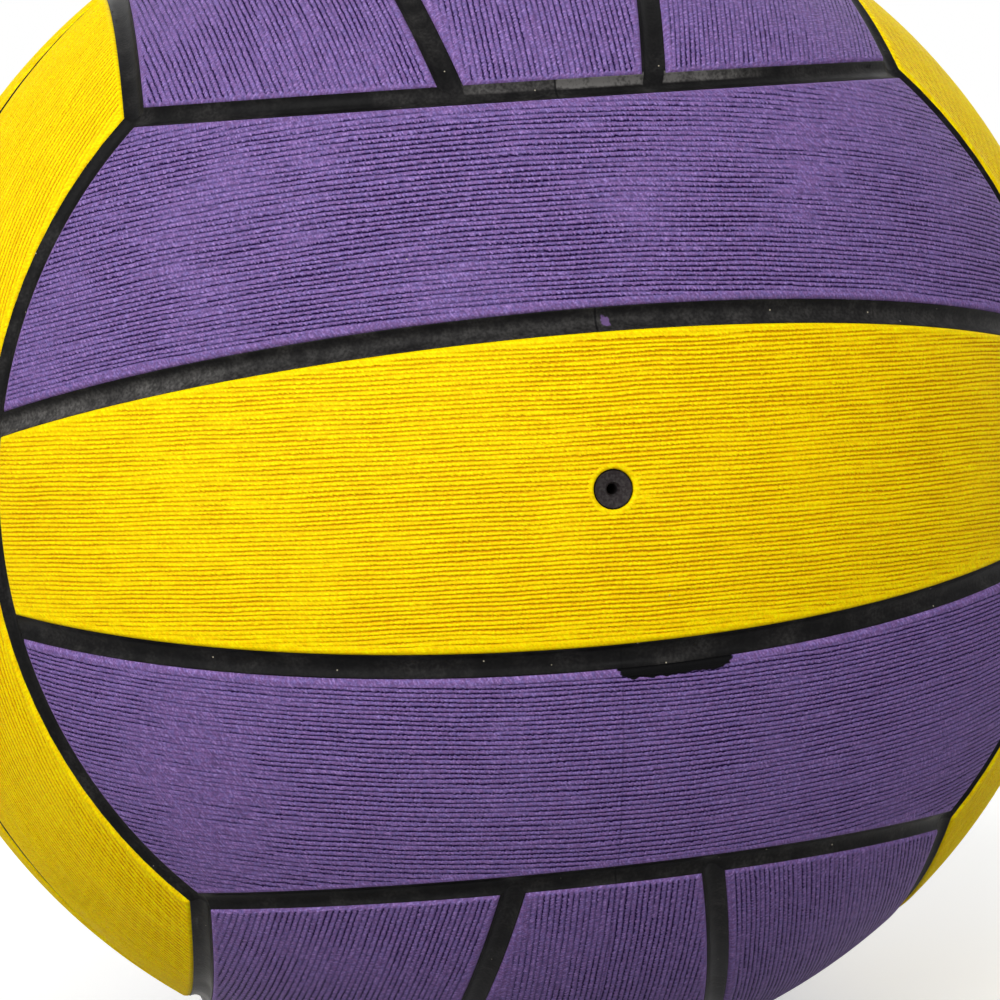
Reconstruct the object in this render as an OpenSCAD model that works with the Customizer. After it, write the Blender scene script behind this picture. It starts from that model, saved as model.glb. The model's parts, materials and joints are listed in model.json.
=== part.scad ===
// Water polo ball with a moulded rubber cover of eighteen panels.
// The front of the ball, where the valve is, faces -Y, its top faces +Z, and its centre is the origin.
// Six faces of three strips lie like the faces of a cube. A face is drawn once, looking along +X,
// with its strips running along Y and lying side by side along Z, and is then turned to its place.

/* [Ball] */
// Outside diameter of the inflated ball
ball_d = 221.2; // [205:0.2:240]
// Sides of a full circle in the preview
round_sides = 180; // [96:12:240]

/* [Seam pattern] */
// Angle at the ball's centre from the middle of a face to the seam along its side
side_seam_angle = 34.1; // [32:0.1:37]
// Angle at the ball's centre from the middle of a face to the seam of its middle strip
strip_seam_angle = 13.45; // [11:0.05:16]
// Lean of the middle strip's seam, which draws the strip in towards its ends
strip_seam_lean = 12.05; // [8:0.05:14]

/* [Panels] */
// Thickness of a cover panel
panel_t = 1.4; // [1.2:0.05:2]
// Radius of the rounded edge of a panel
panel_edge_r = 0.8; // [0.4:0.05:1]

/* [Channels] */
// Width of a channel from panel to panel
channel_w = 3.8; // [3:0.1:5]
// Depth of a channel's floor below the cover's surface
channel_depth = 1.35; // [1:0.05:1.5]
// Depth of the shoulders beside a channel below the cover's surface
shoulder_depth = 0.45; // [0.3:0.05:0.6]
// Width of a channel's shoulder
shoulder_w = 0.15; // [0.1:0.05:0.4]
// Height of a strip channel's floor above the side channel that it runs into
junction_step = 0.1; // [0.05:0.01:0.2]

/* [Layers] */
// Thickness of the rubber carcass under the panels
carcass_t = 0.45; // [0.3:0.05:1]
// Thickness of the nylon winding
winding_t = 0.35; // [0.2:0.05:1]
// Thickness of the bladder's wall
bladder_t = 0.45; // [0.3:0.05:1]

/* [Valve housing] */
// Diameter of the hole in the cover panel over the valve
cover_hole_d = 6.15; // [5.9:0.05:7]
// Radius of the rounded rim of that hole
cover_hole_edge_r = 0.5; // [0.3:0.05:0.8]
// Diameter of the neck that comes up through the layers
neck_d = 10; // [8.5:0.1:12]
// Diameter of the boss inside the bladder
boss_d = 13; // [10.5:0.1:16]
// Length of the valve housing from the cover's surface inwards
housing_length = 14; // [12:0.1:18]
// Diameter of the flange bonded to the bladder
flange_d = 30; // [20:0.5:40]
// Thickness of that flange
flange_t = 1; // [0.6:0.05:1.5]
// Thickness of the glue between the flange and the bladder
glue_t = 0.05; // [0.02:0.01:0.1]

/* [Valve core] */
// Diameter of the core
core_d = 5.7; // [5:0.05:5.8]
// Depth of the core's rim below the cover's surface
core_recess = 0.7; // [0.3:0.05:1]
// Depth of the dish in the core's top
dish_depth = 0.3; // [0.1:0.05:0.5]
// Diameter of the collar that locks the core in its housing
collar_d = 7.6; // [6.6:0.1:8.4]
// Height of that collar
collar_h = 1.4; // [0.8:0.1:2]
// Depth of the collar's top below the cover's surface
collar_depth = 4.4; // [3:0.1:6]
// Depth of the end of the core's round stem below the cover's surface
stem_depth = 9; // [8.2:0.1:10]
// Length of the tapered nose
nose_length = 2.6; // [1:0.1:2.8]
// Diameter of the nose's tip
nose_d = 3; // [2.2:0.1:4]
// Diameter of the needle hole
needle_d = 1.7; // [1.2:0.05:2]
// Depth of the needle hole below the cover's surface
needle_depth = 9.6; // [9.1:0.1:9.8]
// Diameter of the funnel at the needle hole's mouth
funnel_d = 2.3; // [2.1:0.05:3]
// Height of that funnel
funnel_h = 0.5; // [0.2:0.05:1]
// Width of the slit that closes behind the needle
slit_w = 0.2; // [0.1:0.05:0.4]
// Clearance round the core in its housing
core_gap = 0.05; // [0.02:0.01:0.1]

/* [Hidden] */
$fn = round_sides;

purple = "#7E5FA5";
yellow = "#FFDE00";
channel_black = "#232323";
nylon_white = "#D9D6CC";
butyl_black = "#2B2B2E";
valve_black = "#2D2A2E";

// Radii of the layers, from the cover's surface inwards
ball_r = ball_d / 2;
panel_in_r = ball_r - panel_t;
carcass_in_r = panel_in_r - carcass_t;
winding_in_r = carcass_in_r - winding_t;
bladder_in_r = winding_in_r - bladder_t;

// Part of an edge's radius by which the centre of its round lies nearer to both faces
edge_blend_share = 0.04;

// How far every cut runs past what it cuts
overrun = panel_t;
// Distance of the centre of a panel's rounded edge from the panel's wall and from its outside.
edge_inset = panel_edge_r * (1 - edge_blend_share);

// A seam is a circle on the ball. Its axis leans by an angle from Z towards X, or away from it,
// and the seam lies at an angle from that axis, both seen from the ball's centre.
corner_share = 1 / sqrt(3);
side_lean = atan2(corner_share - sin(side_seam_angle), cos(side_seam_angle) - corner_share);
side_polar = 90 - side_seam_angle - side_lean;
strip_polar = 90 - strip_seam_angle + strip_seam_lean;
half_channel = degrees_of(channel_w / 2);

// Half the angle that a side seam's channel turns through, between two corners of the face
side_half_turn = atan2(1, cos(side_lean) - sin(side_lean));
// Half the angle that a strip seam's channel turns through, out to the side channels at its ends
strip_half_turn = turn_to_end(
    cos(side_lean) * cos(strip_seam_lean) * sin(strip_polar),
    sin(side_lean) * sin(strip_polar),
    cos(side_polar) + cos(side_lean) * sin(strip_seam_lean) * cos(strip_polar));

// Angle at the ball's centre that a length spans on the cover's surface
function degrees_of(length) = length / ball_r * 180 / PI;
// Angle t at which a * cos(t) + b * sin(t) comes down to c
function turn_to_end(a, b, c) = atan2(b, a) + acos(c / norm([a, b]));
// Point of a profile at a distance from the ball's centre and an angle from the seam's axis
function polar(r, angle) = [r * sin(angle), r * cos(angle)];
// Radius of a round hollow with its floor at a depth and with half its width at the shoulders
function round_radius(half_w, depth) =
    let(rise = depth - shoulder_depth)
    (half_w ^ 2 + rise ^ 2) / (2 * rise);

// Turns about a seam's axis, on the side of the ball that the face looks to
module about_seam(half_turn = 90) {
    rotate_extrude(angle = 2 * half_turn, start = -half_turn) children();
}

// Everything between two angles from the seam's axis
module between(from_angle, to_angle) {
    steps = 4;
    polygon([
        [0, 0],
        for (i = [0:steps]) polar(ball_d, from_angle + (to_angle - from_angle) * i / steps)
    ]);
}

// Takes away what lies past a panel's wall at a side seam, whose walls point to the ball's centre.
// away is 1 where the panel lies further from the seam's axis than the seam, and -1 where it is nearer.
module trim_at_side_seam(away, rounded) {
    wall_angle = side_polar + away * half_channel;
    centre_r = ball_r - edge_inset;
    centre_angle = wall_angle + away * asin(edge_inset / centre_r);
    outside_angle = wall_angle - away * degrees_of(panel_edge_r);
    about_seam() between(wall_angle, away > 0 ? 0 : 180);
    if (rounded)
        about_seam()
            difference() {
                polygon([
                    polar(centre_r, outside_angle),
                    polar(centre_r, centre_angle),
                    polar(ball_r + overrun, centre_angle),
                    polar(ball_r + overrun, outside_angle)
                ]);
                translate(polar(centre_r, centre_angle)) circle(r = panel_edge_r);
            }
}

// The same at a strip seam, which runs so near the middle of the ball that its walls are flat
module trim_at_strip_seam(away, rounded) {
    reach = ball_r + overrun;
    wall_z = ball_r * cos(strip_polar) - away * channel_w / 2;
    centre_z = wall_z - away * edge_inset;
    centre_x = sqrt((ball_r - edge_inset) ^ 2 - centre_z ^ 2);
    rim = panel_edge_r + edge_inset;
    translate([0, -reach, away > 0 ? wall_z : -reach])
        cube([reach, 2 * reach, away > 0 ? reach : reach + wall_z]);
    if (rounded)
        about_seam()
            difference() {
                translate([centre_x, away > 0 ? centre_z : centre_z - rim])
                    square([reach - centre_x, rim]);
                translate([centre_x, centre_z]) circle(r = panel_edge_r);
            }
}

// The axes of a face's seams: the side seam and the strip seam above its middle, and the seam
// at the strips' ends, which is the side seam of the next face
module at_side_seam() {
    rotate([0, side_lean, 0]) children();
}

module at_strip_seam() {
    rotate([0, -strip_seam_lean, 0]) children();
}

module at_end_seam() {
    to_next_face() at_side_seam() children();
}

// Turns X to Y, Y to Z and Z to X
module to_next_face() {
    rotate(a = 120, v = [1, 1, 1]) children();
}

// The same on the other side of the face
module on_other_side() {
    rotate([180, 0, 0]) children();
}

module on_both_sides() {
    children();
    on_other_side() children();
}

// A face's part of a layer, out to the middle of the seams round it
module face_layer(outer_r, inner_r) {
    half_length = 90 - side_seam_angle;
    rotate([-90, 0, 0])
        rotate_extrude(angle = 90, start = -45)
            intersection() {
                difference() {
                    circle(r = outer_r);
                    circle(r = inner_r);
                }
                polygon([
                    [0, 0],
                    polar(ball_d, 90 - half_length),
                    [ball_d, 0],
                    polar(ball_d, 90 + half_length)
                ]);
            }
}

// A strip's length of a face's layer, cut off at the seams at both its ends
module strip_length(outer_r, rounded) {
    difference() {
        difference() {
            face_layer(outer_r, panel_in_r);
            at_end_seam() trim_at_side_seam(-1, rounded);
        }
        on_other_side() at_end_seam() trim_at_side_seam(-1, rounded);
    }
}

// The strip along the middle of a face
module middle_strip(outer_r, rounded) {
    difference() {
        difference() {
            strip_length(outer_r, rounded);
            at_strip_seam() trim_at_strip_seam(1, rounded);
        }
        on_other_side() at_strip_seam() trim_at_strip_seam(1, rounded);
    }
}

// The strip above the middle of a face
module upper_strip(outer_r, rounded) {
    difference() {
        difference() {
            strip_length(outer_r, rounded);
            at_side_seam() trim_at_side_seam(1, rounded);
        }
        at_strip_seam() trim_at_strip_seam(-1, rounded);
    }
}

// The strip below the middle of a face
module lower_strip(outer_r, rounded) {
    on_other_side() upper_strip(outer_r, rounded);
}

// Places of the six faces, drawn looking along +X
module on_right() {
    rotate([90, 0, 0]) children();
}

module on_top() {
    on_right() to_next_face() children();
}

module on_front() {
    on_top() to_next_face() children();
}

module on_left() {
    on_right() rotate([0, 0, 180]) children();
}

module on_bottom() {
    on_top() rotate([0, 0, 180]) children();
}

module on_back() {
    on_front() rotate([0, 0, 180]) children();
}

// The same by number, from 0 to 5
module on_face(i) {
    if (i == 0) on_right() children();
    if (i == 1) on_left() children();
    if (i == 2) on_top() children();
    if (i == 3) on_bottom() children();
    if (i == 4) on_front() children();
    if (i == 5) on_back() children();
}

// Along the valve's axis, drawn upwards
module at_valve() {
    rotate([90, 0, 0]) children();
}

// Round bar on the valve's axis between two depths below the cover's surface
module valve_bar(d, from_depth, to_depth) {
    translate([0, 0, ball_r - to_depth]) cylinder(d = d, h = to_depth - from_depth);
}

module upper_panel() {
    upper_strip(ball_r, true);
}

module centre_panel() {
    middle_strip(ball_r, true);
}

module lower_panel() {
    lower_strip(ball_r, true);
}

module valve_panel() {
    inset = cover_hole_edge_r * (1 - edge_blend_share);
    rim_r = cover_hole_d / 2 + inset;
    rim_z = sqrt(ball_r ^ 2 - rim_r ^ 2) - inset;
    difference() {
        on_front() centre_panel();
        at_valve() {
            valve_bar(cover_hole_d, -overrun, panel_t + overrun);
            rotate_extrude()
                translate([0, rim_z])
                    difference() {
                        square([rim_r, cover_hole_edge_r + overrun]);
                        translate([rim_r, 0]) circle(r = cover_hole_edge_r);
                    }
        }
    }
}

// Channel along a side seam, from the bowl at one corner of the face to the bowl at the next
module side_channel() {
    r = round_radius(channel_w / 2 - shoulder_w, channel_depth);
    about_seam(side_half_turn)
        translate(polar(ball_r - channel_depth + r, side_polar)) circle(r = r);
}

// Bowls where three side channels meet, at the corners of a face
module corner_bowls() {
    depth = channel_depth + junction_step;
    r = round_radius((channel_w - shoulder_w) / 2 / sin(60), depth);
    for (y = [-1, 1], z = [-1, 1])
        translate((ball_r - depth + r) * corner_share * [1, y, z]) sphere(r = r);
}

// Channel along a strip seam, which runs out into the side channels at both ends of the strip
module strip_channel() {
    depth = channel_depth - junction_step;
    r = round_radius(channel_w / 2 - shoulder_w, depth);
    about_seam(strip_half_turn + degrees_of(2 * junction_step))
        translate(polar(ball_r - depth + r, strip_polar)) circle(r = r);
}

// Black rubber under the panels, which comes up between them and holds the channels
module carcass() {
    color(channel_black) with_strip_channels(6);
}

// The carcass with the side channels of its first faces, cut a face at a time
module with_side_channels(faces) {
    if (faces == 0) {
        carcass_ribs();
    } else {
        difference() {
            with_side_channels(faces - 1);
            on_face(faces - 1) on_both_sides() at_side_seam() side_channel();
        }
    }
}

// All side channels, and the strip channels of the first faces
module with_strip_channels(faces) {
    if (faces == 0) {
        with_side_channels(6);
    } else {
        difference() {
            with_strip_channels(faces - 1);
            on_face(faces - 1) on_both_sides() at_strip_seam() strip_channel();
        }
    }
}

// The carcass before its channels are cut
module carcass_ribs() {
    outer_r = ball_r + overrun;
    difference() {
        sphere(r = ball_r - shoulder_depth);
        sphere(r = carcass_in_r);
        for (i = [0:5])
            on_face(i) {
                upper_strip(outer_r, false);
                middle_strip(outer_r, false);
                lower_strip(outer_r, false);
            }
        for (i = [0:1]) on_face(i) corner_bowls();
        at_valve() valve_bar(neck_d, -overrun, housing_length);
    }
}

// A layer between two radii with the hole that the valve's neck fills
module layer(outer_r, inner_r) {
    difference() {
        sphere(r = outer_r);
        sphere(r = inner_r);
        at_valve() valve_bar(neck_d, -overrun, housing_length);
    }
}

module winding() {
    color(nylon_white) layer(carcass_in_r, winding_in_r);
}

module bladder() {
    color(butyl_black) layer(winding_in_r, bladder_in_r);
}

// Neck, flange and boss in one piece, bored for the core
module valve_housing() {
    bore_d = core_d + 2 * core_gap;
    floor_depth = stem_depth + nose_length + core_gap;
    flange_r = bladder_in_r - glue_t;
    flange_depth = ball_r - flange_r + flange_t;
    rim_depth = ball_r - sqrt(flange_r ^ 2 - flange_d ^ 2 / 4) + flange_t;
    color(valve_black)
        at_valve()
            difference() {
                union() {
                    intersection() {
                        sphere(r = panel_in_r);
                        valve_bar(neck_d, 0, flange_depth);
                    }
                    intersection() {
                        sphere(r = flange_r);
                        union() {
                            valve_bar(boss_d, 0, housing_length);
                            difference() {
                                translate([0, 0, ball_r - rim_depth])
                                    cylinder(
                                        d1 = flange_d - 2 * flange_t,
                                        d2 = flange_d + 2 * (rim_depth - flange_t),
                                        h = rim_depth);
                                sphere(r = flange_r - flange_t);
                            }
                        }
                    }
                }
                valve_bar(bore_d, -overrun, stem_depth + core_gap);
                valve_bar(collar_d + 2 * core_gap, collar_depth - core_gap,
                    collar_depth + collar_h + core_gap);
                translate([0, 0, ball_r - floor_depth])
                    cylinder(d1 = nose_d + 2 * core_gap, d2 = bore_d, h = nose_length);
                valve_bar(nose_d + 2 * core_gap, stem_depth, housing_length + overrun);
            }
}

// Plug that the pump's needle goes through, locked in the housing by its collar
module valve_core() {
    tip_depth = stem_depth + nose_length;
    dish_r = (core_d ^ 2 / 4 + dish_depth ^ 2) / (2 * dish_depth);
    funnel_depth = core_recess + dish_depth + funnel_h;
    slit_length = needle_d - slit_w;
    color(valve_black)
        at_valve()
            difference() {
                union() {
                    valve_bar(core_d, core_recess, stem_depth);
                    valve_bar(collar_d, collar_depth, collar_depth + collar_h);
                    translate([0, 0, ball_r - tip_depth])
                        cylinder(d1 = nose_d, d2 = core_d, h = nose_length);
                }
                translate([0, 0, ball_r - core_recess - dish_depth + dish_r]) sphere(r = dish_r);
                translate([0, 0, ball_r - funnel_depth])
                    cylinder(d1 = needle_d, d2 = funnel_d, h = funnel_h);
                valve_bar(funnel_d, 0, funnel_depth - funnel_h);
                valve_bar(needle_d, 0, needle_depth);
                translate([-slit_w / 2, -slit_length / 2, ball_r - tip_depth - overrun])
                    cube([slit_w, slit_length, tip_depth + overrun - needle_depth + slit_w]);
            }
}

color(purple) on_front() upper_panel();  // front_upper_panel
color(yellow) valve_panel();  // front_centre_panel
color(purple) on_front() lower_panel();  // front_lower_panel
color(purple) on_back() upper_panel();  // back_upper_panel
color(yellow) on_back() centre_panel();  // back_centre_panel
color(purple) on_back() lower_panel();  // back_lower_panel
color(purple) on_top() upper_panel();  // top_right_panel
color(purple) on_top() centre_panel();  // top_centre_panel
color(purple) on_top() lower_panel();  // top_left_panel
color(purple) on_bottom() upper_panel();  // bottom_right_panel
color(purple) on_bottom() centre_panel();  // bottom_centre_panel
color(purple) on_bottom() lower_panel();  // bottom_left_panel
color(yellow) on_left() upper_panel();  // left_front_panel
color(yellow) on_left() centre_panel();  // left_centre_panel
color(yellow) on_left() lower_panel();  // left_back_panel
color(yellow) on_right() upper_panel();  // right_front_panel
color(yellow) on_right() centre_panel();  // right_centre_panel
color(yellow) on_right() lower_panel();  // right_back_panel
carcass();
winding();
bladder();
valve_housing();
valve_core();
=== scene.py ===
"""Water polo ball: a cover of grooved grip-rubber panels over a black carcass, with a needle valve.

The CAD frame gives the ball's size and every node's place. Each cover panel is a closed mesh that
is laid out between its seams by formula, and a Geometry Nodes tree then cuts the grip grooves.
Lengths are in metres, and a panel is drawn with its face looking along +X and its strips along +Y.
"""
import json
import math

import bpy
import numpy as np
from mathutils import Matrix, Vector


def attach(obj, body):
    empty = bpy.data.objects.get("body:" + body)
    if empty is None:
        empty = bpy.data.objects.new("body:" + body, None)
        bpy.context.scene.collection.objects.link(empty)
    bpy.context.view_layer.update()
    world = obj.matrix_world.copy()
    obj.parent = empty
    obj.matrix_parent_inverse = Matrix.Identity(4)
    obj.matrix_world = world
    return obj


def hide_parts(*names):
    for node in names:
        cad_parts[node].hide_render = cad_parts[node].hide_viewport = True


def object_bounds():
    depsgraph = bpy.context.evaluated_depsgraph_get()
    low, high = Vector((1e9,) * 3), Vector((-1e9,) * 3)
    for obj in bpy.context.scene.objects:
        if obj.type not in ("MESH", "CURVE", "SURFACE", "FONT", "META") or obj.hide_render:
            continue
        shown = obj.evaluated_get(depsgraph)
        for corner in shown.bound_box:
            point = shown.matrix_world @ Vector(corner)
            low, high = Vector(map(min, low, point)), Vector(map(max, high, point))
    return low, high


bl_info = {
    "name": "Water polo ball",
    "version": (1, 0, 0),
    "blender": (4, 5, 0),
    "location": "3D View > Sidebar > Ball",
    "description": "Builds the grooved rubber cover, the channels, the valve and a studio stage",
    "category": "Add Mesh",
}

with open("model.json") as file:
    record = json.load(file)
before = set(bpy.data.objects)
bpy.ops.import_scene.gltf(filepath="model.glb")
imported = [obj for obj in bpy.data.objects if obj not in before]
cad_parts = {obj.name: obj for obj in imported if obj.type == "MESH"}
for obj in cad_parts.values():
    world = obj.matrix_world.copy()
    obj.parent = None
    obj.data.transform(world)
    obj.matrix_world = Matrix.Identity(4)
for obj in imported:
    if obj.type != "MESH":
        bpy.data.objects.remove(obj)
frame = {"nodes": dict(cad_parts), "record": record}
CAD_BOX = [list(corner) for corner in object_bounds()]
BALL_RADIUS = CAD_BOX[1][0]
MM = 0.001

# Seam pattern in degrees: from the middle of a face to its side seam and to its strip seam, and how
# far the strip seam's circle leans
SIDE_SEAM, STRIP_SEAM, STRIP_LEAN = 34.1, 13.45, 12.05

# Where each face looks (its normal), which way its strips run, and which way they lie side by side
FACES = {
    "front": ((0, -1, 0), (1, 0, 0), (0, 0, 1)),
    "back": ((0, 1, 0), (-1, 0, 0), (0, 0, 1)),
    "top": ((0, 0, 1), (0, -1, 0), (1, 0, 0)),
    "bottom": ((0, 0, -1), (0, 1, 0), (1, 0, 0)),
    "right": ((1, 0, 0), (0, 0, 1), (0, -1, 0)),
    "left": ((-1, 0, 0), (0, 0, -1), (0, -1, 0)),
}
# Names of a face's strips from its low side to its high side, for each way that they lie
STRIP_NAMES = {
    (0, 0, 1): ("lower", "centre", "upper"),
    (1, 0, 0): ("left", "centre", "right"),
    (0, -1, 0): ("back", "centre", "front"),
}

# Spots where the grooves are worn away: a direction from the ball's centre, how far the spot
# reaches, and the most that is worn. Spots below 0 take away from what others near them wear
WORN_SPOTS = (
    ((0.35, -0.82, 0.45), 9 * MM, 0.9),
    ((0.32, -0.88, 0.36), 6 * MM, 0.7),
    ((-0.58, -0.71, -0.39), 18 * MM, 0.8),
    ((-0.53, -0.72, -0.44), 14 * MM, 0.4),
    ((-0.48, -0.76, 0.44), 26 * MM, 0.3),
    ((0.04, -1.00, -0.01), 3 * MM, 0.8),
    ((0.05, -0.93, 0.35), 20 * MM, -0.65),
    ((-0.08, -0.91, 0.40), 16 * MM, -0.45),
    ((-0.17, -0.89, -0.42), 16 * MM, -0.8),
    ((-0.03, -0.92, -0.40), 15 * MM, -0.5),
    ((0.42, -0.66, 0.62), 32 * MM, 0.7),
    ((0.36, -0.66, -0.66), 30 * MM, 0.5),
    ((-0.52, -0.85, 0.00), 34 * MM, 0.4),
    ((0.30, -0.95, 0.02), 22 * MM, 0.35),
)
# Black rubber of the channel that has run over the edge of one panel: the face and strip, where it
# starts and ends along the strip's high side, and how far it reaches
SPILL_ON, SPILL_SPAN, SPILL_REACH = ("front", -1), (0.2 * MM, 18 * MM), 2.4 * MM

# How far apart a face's grooves lie, as shares of the pitch: on its centre strip, and on its side
# strips by their inner and their outer seam
SPREAD = {
    "front": (0.98, 1.0, 1.37), "back": (0.98, 1.0, 1.37), "left": (1.1, 1.1, 1.33),
    "right": (1.1, 1.1, 1.33), "top": (1.25, 1.08, 1.33), "bottom": (1.3, 1.15, 1.33),
}
# Faces whose grooves stray less than the others', to a share, and the least that is worn there
CALM_FACES, CALM_STRAY, CALM_WEAR = ("top", "bottom"), 0.5, 0.35
# Strips whose grooves are shallow along one side: that side's wall, 0 for the low one and 1 for the
# high one, how far it reaches from there, and how much of the depth is lost
FAINT_SIDE = {0: (0, 4.5 * MM, 0.85), 1: (1, 4.0 * MM, 0.7)}
# Power that narrows a groove against its ridges, and how many lips from an edge it is fully deep
NARROWING, LIP_FADE = 2.5, 1.4
# Place of the grooves' noise, and how far on it lies for each further panel
SEED, NEXT_PANEL = 7.0, 100.0

# Layout of a panel's mesh: points across a rounded edge, and steps of the top's grid, along and
# across, from point to point of the inner side
EDGE_POINTS, INNER_STEPS = 6, (6, 24)
# Block round the valve hole: its reach as a share of the hole's radius, its columns and its rings
RING_REACH, RING_COLUMNS, RING_COUNT = 1.9, 32, 30

# How much each colour of rubber varies from grain to grain
MOTTLE = {"purple": 1.0, "yellow": 0.5}
# Middle and reach of the purple smear in the channel above the valve
SMEAR_AT, SMEAR_REACH = (1.6 * MM, -107 * MM, 25.6 * MM), 2.2 * MM

# Width of the camera's sensor in millimetres, and the camera's place and turn in degrees
SENSOR, CAMERA_AT, CAMERA_TURN = 36, (-0.10053, -0.56513, 0.02564), (86.804, 4.440, -10.596)
# Width, height and place of each lamp
LAMPS = {
    "key": ((1.6, 1.2), (-0.72, -0.92, 0.66)),
    "fill": ((0.6, 0.2), (0.35, -1.15, 0.5)),
    "back": ((1.2, 1.2), (0.8, 1.2, 0.7)),
}
# The floor's colour as it is seen and as it lights the ball, and its glow from near to far
FLOOR_SEEN, FLOOR_BOUNCE = "#F4F4F2", "#8C8C8A"
GLOW_DISTANCES, GLOW = (0.5, 1.4), (0.35, 1.0)


def linear(code):
    """Linear RGBA of an sRGB hex colour."""
    shares = [int(code[i:i + 2], 16) / 255 for i in (1, 3, 5)]
    return (*[c / 12.92 if c <= 0.04045 else ((c + 0.055) / 1.055) ** 2.4 for c in shares], 1.0)


def length(name, description, default):
    """A size in metres that a user may change."""
    return bpy.props.FloatProperty(
        name=name, description=description, default=default, min=0, precision=5,
        subtype="DISTANCE", unit="LENGTH")


def angle(name, description, degrees):
    """An angle at the ball's centre that a user may change."""
    return bpy.props.FloatProperty(
        name=name, description=description, default=math.radians(degrees), subtype="ANGLE")


def colour(name, description, code):
    """A colour that a user may change."""
    return bpy.props.FloatVectorProperty(
        name=name, description=description, default=linear(code), size=4, min=0, max=1,
        subtype="COLOR")


class BallPattern(bpy.types.PropertyGroup):
    """Seam pattern and panel sizes, which follow the CAD frame"""
    radius: length("Ball radius", "Radius of the cover's surface", BALL_RADIUS)
    panel_t: length("Panel thickness", "Thickness of a cover panel", 1.4 * MM)
    edge_r: length("Edge radius", "Radius of a panel's rounded edge", 0.8 * MM)
    channel_w: length("Channel width", "Gap between two panels", 3.8 * MM)
    hole_r: length("Valve hole radius", "Radius of the hole over the valve", 3.075 * MM)
    hole_edge_r: length("Valve hole edge", "Radius of that hole's rounded rim", 0.5 * MM)
    side_seam: angle("Side seam", "From the middle of a face to its side seam", SIDE_SEAM)
    strip_seam: angle("Strip seam", "From the middle of a face to its strip seam", STRIP_SEAM)
    strip_lean: angle("Strip seam lean", "Draws the middle strip in towards its ends", STRIP_LEAN)


class GripGrooves(bpy.types.PropertyGroup):
    """Grip grooves of a panel"""
    pitch: length("Groove pitch", "From groove to groove, by a front side strip's inner seam",
                  0.73 * MM)
    depth: length("Groove depth", "Depth of a groove where it is deepest", 0.2 * MM)
    lip: length("Lip width", "Smooth lip along a panel's sides", 1.0 * MM)
    end_lip: length("End lip width", "Smooth lip at a panel's ends", 0.5 * MM)
    valve_lip: length("Valve lip width", "Smooth ring round the valve hole", 0.7 * MM)
    wander: length("Wander", "How far a groove strays from its line", 0.6 * MM)
    column: length("Mesh step", "Length of the mesh's cells along the grooves", 1.45 * MM)
    rows: bpy.props.IntProperty(
        name="Rows in a groove", description="Rows of the mesh from groove to groove", default=6,
        min=4, max=8)
    skew: angle("Skew", "Turn of the grooves against their strip", -1.5)


class BallColours(bpy.types.PropertyGroup):
    """Colours of the ball's rubber"""
    purple: colour("Purple rubber", "Body of the purple panels", "#7A5C95")
    # The cast colour tints random patches and also paints shade into the grooves' valleys
    purple_cast: colour("Purple cast", "Cooler patches of the purple panels", "#715E9A")
    # A painted sheen, paler than the body, on spots of the purple ridges
    purple_crest: colour("Purple crest", "Worn crests of the purple panels", "#9A7FB6")
    # Painted shade in the purple grooves and bare creases, and the colour of the parting line
    purple_groove: colour("Purple groove", "Depth of the purple panels' grooves", "#150230")
    yellow: colour("Yellow rubber", "Body of the yellow panels", "#FFDF00")
    # The cast colour tints random patches and also paints shade into the grooves' valleys
    yellow_cast: colour("Yellow cast", "Deeper patches of the yellow panels", "#FFD000")
    # A painted sheen, paler than the body, on spots of the yellow ridges
    yellow_crest: colour("Yellow crest", "Worn crests of the yellow panels", "#FFE610")
    # Painted shade in the yellow grooves and bare creases, and the colour of the parting line
    yellow_groove: colour("Yellow groove", "Depth of the yellow panels' grooves", "#BE6E00")
    black: colour("Black rubber", "Carcass and channels", "#060607")
    # Dust on the channels and the valve; in two channels this colour is also a painted highlight
    dust_and_sheen: colour("Dust", "Dust that dulls the channels", "#5E5C5A")
    speck: colour("Specks", "Grains of dust on the rubber", "#B8B09C")
    valve: colour("Valve rubber", "Core and housing of the valve", "#1E181A")
    nylon: colour("Nylon thread", "Winding under the carcass", "#D9D6CC")
    butyl: colour("Butyl rubber", "Bladder", "#2B2B2E")


class StageSizes(bpy.types.PropertyGroup):
    """Floor, lamps and camera"""
    floor: length("Floor size", "Length of the floor's sides", 6)
    key: bpy.props.FloatProperty(name="Key lamp", description="Power in watts", default=17.5)
    fill: bpy.props.FloatProperty(name="Fill lamp", description="Power in watts", default=3)
    back: bpy.props.FloatProperty(name="Back lamp", description="Power in watts", default=6.5)
    sky: bpy.props.FloatProperty(
        name="Sky", description="Strength of the room's light", default=0.38)
    lens: bpy.props.FloatProperty(
        name="Focal length", description=f"On a sensor {SENSOR} mm wide", default=111.6,
        unit="CAMERA")


def add(tree, kind, sockets=(), **settings):
    """Adds a node with its settings and its sockets' values or links, and returns its outputs."""
    node = tree.nodes.new(kind)
    for name, value in settings.items():
        setattr(node, name, value)
    for key, value in dict(sockets).items():
        if isinstance(value, bpy.types.NodeSocket):
            tree.links.new(value, node.inputs[key])
        else:
            node.inputs[key].default_value = value
    return node.outputs


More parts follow.
